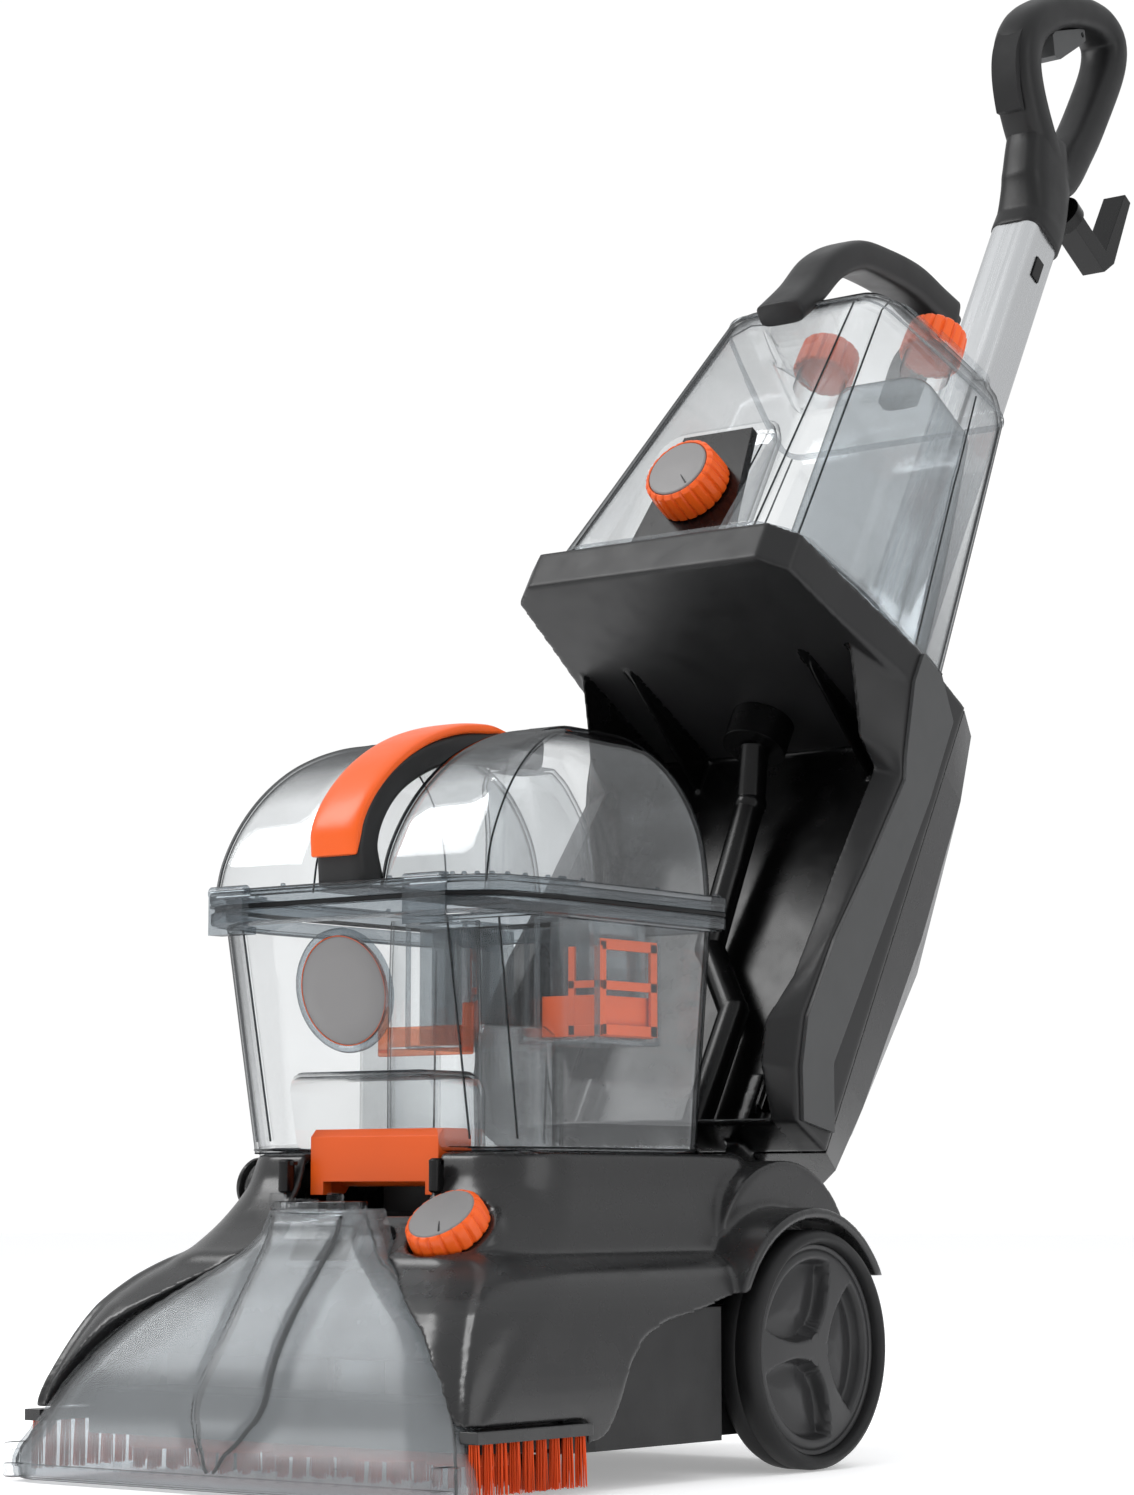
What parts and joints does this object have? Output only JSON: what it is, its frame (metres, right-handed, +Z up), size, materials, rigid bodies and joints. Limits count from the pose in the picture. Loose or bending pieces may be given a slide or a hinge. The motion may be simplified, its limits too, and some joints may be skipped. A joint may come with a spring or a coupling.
{
  "type": "upright carpet washer",
  "caption": "Upright carpet washer: driven brush nozzle under a clear suction cover, lift-off dirty water tank, reclining body with clear water tank and loop handle.",
  "frame": {"origin": "on the floor, under the middle of the machine's overall length and width, with the body leaned back as stored", "axes": "+X to the side that carries the mode knob, called right in the node names because it is on the right when seen from the front, +Y from the nozzle lip towards the cord hook, +Z up"},
  "size_m": [0.312, 0.9533, 1.0194],
  "materials": {
    "tub_black": "satin black moulding",
    "hood_grey": "dark grey, glossy",
    "shell_grey": "dark grey, fine texture",
    "panel_grey": "mid grey, satin",
    "clear": "clear polycarbonate",
    "smoke_clear": "lightly smoked clear plastic",
    "grey_clear": "grey tinted clear plastic",
    "orange": "orange, satin",
    "orange_bristle": "orange nylon tufts",
    "rubber_black": "soft black",
    "tyre_black": "matte black",
    "hub_grey": "dark grey, satin",
    "steel": "brushed",
    "tube_metal": "brushed, anodised",
    "disc_grey": "mid grey, satin"
  },
  "bodies": {
    "base": {"base_chassis": "tub_black", "base_hood": "hood_grey", "nozzle_cover": "smoke_clear", "nozzle_backplate": "smoke_clear", "base_ducts": "tub_black", "brush_block": "tub_black", "brush_motor": "steel", "edge_brush_holders": "hood_grey", "edge_brush_tufts": "orange_bristle", "suction_motor": "steel", "water_pump": "tub_black", "axle_and_pins": "steel", "base_screws": "steel"},
    "rollers": {"front_rollers": "rubber_black"},
    "wheel_left": {"tyre_left": "tyre_black", "hub_left": "hub_grey"},
    "wheel_right": {"tyre_right": "tyre_black", "hub_right": "hub_grey"},
    "mode_knob": {"mode_knob": "orange"},
    "release_lever": {"release_lever": "orange"},
    "power_pedal": {"power_pedal": "shell_grey"},
    "recline_pedal": {"recline_pedal": "shell_grey"},
    "hose_door": {"hose_port_door": "shell_grey"},
    "dirty_tank": {"dirty_tank": "clear", "badge": "disc_grey"},
    "tank_lid": {"dirty_tank_lid": "clear", "lid_gasket": "rubber_black", "lid_handle_core": "shell_grey", "lid_handle_grip": "orange", "separator": "orange"},
    "float": {"float_valve": "orange"},
    "latch_left": {"latch_left": "clear"},
    "latch_right": {"latch_right": "clear"},
    "body": {"body_shell": "shell_grey", "side_panels": "panel_grey", "rear_cover": "hood_grey", "spine": "tub_black", "handle_tube": "tube_metal", "water_feed": "tub_black", "dial_plate": "tub_black", "grip_left": "tub_black", "grip_right": "tub_black", "grip_pad": "rubber_black", "cord_gland": "rubber_black"},
    "lock_button": {"lock_button": "tub_black"},
    "mix_dial": {"mix_dial": "orange"},
    "trigger": {"trigger": "panel_grey"},
    "cord_hook": {"cord_hook": "tub_black"},
    "clean_tank": {"clean_tank": "clear", "solution_tank": "grey_clear", "tank_valve": "tub_black", "clean_tank_handle": "shell_grey"},
    "water_cap": {"water_cap": "orange"},
    "solution_cap": {"solution_cap": "orange"},
    "pinion": {"brush_pinion": "disc_grey"},
    "brush_1": {"brush_1": "orange_bristle"},
    "brush_2": {"brush_2": "orange_bristle"},
    "brush_3": {"brush_3": "orange_bristle"},
    "brush_4": {"brush_4": "orange_bristle"},
    "brush_5": {"brush_5": "orange_bristle"}
  },
  "joints": [
    {"name": "recline", "type": "hinge", "parent": "base", "child": "body", "pos_m": [0, -0.14165, 0.1], "axis": [-1, 0, 0], "range_deg": [-16, 27]},
    {"name": "wheel_left_spin", "type": "hinge", "parent": "base", "child": "wheel_left", "pos_m": [-0.139, -0.15665, 0.065], "axis": [1, 0, 0], "continuous": true},
    {"name": "wheel_right_spin", "type": "hinge", "parent": "base", "child": "wheel_right", "pos_m": [0.139, -0.15665, 0.065], "axis": [1, 0, 0], "continuous": true},
    {"name": "rollers_spin", "type": "hinge", "parent": "base", "child": "rollers", "pos_m": [0, -0.35665, 0.009], "axis": [1, 0, 0], "continuous": true},
    {"name": "brush_1_spin", "type": "hinge", "parent": "base", "child": "brush_1", "pos_m": [-0.104, -0.40065, 0.02], "axis": [0, 0, 1], "continuous": true},
    {"name": "brush_2_spin", "type": "hinge", "parent": "base", "child": "brush_2", "pos_m": [-0.052, -0.40065, 0.02], "axis": [0, 0, 1], "continuous": true},
    {"name": "brush_3_spin", "type": "hinge", "parent": "base", "child": "brush_3", "pos_m": [0, -0.40065, 0.02], "axis": [0, 0, 1], "continuous": true},
    {"name": "brush_4_spin", "type": "hinge", "parent": "base", "child": "brush_4", "pos_m": [0.052, -0.40065, 0.02], "axis": [0, 0, 1], "continuous": true},
    {"name": "brush_5_spin", "type": "hinge", "parent": "base", "child": "brush_5", "pos_m": [0.104, -0.40065, 0.02], "axis": [0, 0, 1], "continuous": true},
    {"name": "pinion_spin", "type": "hinge", "parent": "base", "child": "pinion", "pos_m": [0, -0.36165, 0.037], "axis": [0, 0, 1], "continuous": true},
    {"name": "mode_turn", "type": "hinge", "parent": "base", "child": "mode_knob", "pos_m": [0.076, -0.38205, 0.1285], "axis": [0, -0.643, 0.7659], "range_deg": [-45, 45]},
    {"name": "lever_pull", "type": "hinge", "parent": "base", "child": "release_lever", "pos_m": [0, -0.33265, 0.158], "axis": [1, 0, 0], "range_deg": [0, 14], "stiffness_Nm_per_rad": 0.6, "springref_deg": -5.73},
    {"name": "power_press", "type": "hinge", "parent": "base", "child": "power_pedal", "pos_m": [-0.026, -0.12265, 0.174], "axis": [-1, 0, 0], "range_deg": [0, 4], "stiffness_Nm_per_rad": 0.5, "springref_deg": -8.59},
    {"name": "recline_press", "type": "hinge", "parent": "base", "child": "recline_pedal", "pos_m": [0.026, -0.12265, 0.174], "axis": [-1, 0, 0], "range_deg": [0, 4], "stiffness_Nm_per_rad": 0.5, "springref_deg": -8.59},
    {"name": "hose_door_open", "type": "hinge", "parent": "base", "child": "hose_door", "pos_m": [-0.1165, -0.32665, 0.143], "axis": [0, -1, 0], "range_deg": [0, 80]},
    {"name": "dirty_tank_lift", "type": "slide", "parent": "base", "child": "dirty_tank", "axis": [0, 0, 1], "range_m": [0, 0.16]},
    {"name": "lid_lift", "type": "slide", "parent": "dirty_tank", "child": "tank_lid", "axis": [0, 0, 1], "range_m": [0, 0.12]},
    {"name": "float_rise", "type": "slide", "parent": "tank_lid", "child": "float", "axis": [0, 0, 1], "range_m": [0, 0.025]},
    {"name": "latch_left_open", "type": "hinge", "parent": "tank_lid", "child": "latch_left", "pos_m": [-0.069, -0.39765, 0.311], "axis": [-1, 0, 0], "range_deg": [0, 95]},
    {"name": "latch_right_open", "type": "hinge", "parent": "tank_lid", "child": "latch_right", "pos_m": [0.069, -0.39765, 0.311], "axis": [-1, 0, 0], "range_deg": [0, 95]},
    {"name": "clean_tank_lift", "type": "slide", "parent": "body", "child": "clean_tank", "axis": [0, 0.5, 0.866], "range_m": [0, 0.14]},
    {"name": "water_cap_turn", "type": "hinge", "parent": "clean_tank", "child": "water_cap", "pos_m": [-0.042, 0.15005, 0.70524], "axis": [0, 0.5, 0.866], "range_deg": [0, 270]},
    {"name": "solution_cap_turn", "type": "hinge", "parent": "clean_tank", "child": "solution_cap", "pos_m": [0.042, 0.15005, 0.70524], "axis": [0, 0.5, 0.866], "range_deg": [0, 270]},
    {"name": "mix_dial_turn", "type": "hinge", "parent": "body", "child": "mix_dial", "pos_m": [0, -0.07104, 0.58231], "axis": [0, -0.866, 0.5], "range_deg": [-135, 135]},
    {"name": "trigger_pull", "type": "hinge", "parent": "body", "child": "trigger", "pos_m": [0, 0.40927, 0.98775], "axis": [-1, 0, 0], "range_deg": [0, 8], "stiffness_Nm_per_rad": 0.3, "springref_deg": -5.73},
    {"name": "cord_hook_turn", "type": "hinge", "parent": "body", "child": "cord_hook", "pos_m": [0, 0.39206, 0.84841], "axis": [0, 0.866, -0.5], "range_deg": [0, 180]},
    {"name": "lock_button_press", "type": "slide", "parent": "body", "child": "lock_button", "axis": [-1, 0, 0], "range_m": [0, 0.002], "stiffness_N_per_m": 400, "springref_m": -0.001}
  ],
  "couplings": [
    {"joint": "brush_2_spin", "follows": "brush_3_spin", "ratio": -1},
    {"joint": "brush_4_spin", "follows": "brush_3_spin", "ratio": -1},
    {"joint": "brush_1_spin", "follows": "brush_3_spin", "ratio": 1},
    {"joint": "brush_5_spin", "follows": "brush_3_spin", "ratio": 1},
    {"joint": "pinion_spin", "follows": "brush_3_spin", "ratio": -2}
  ]
}
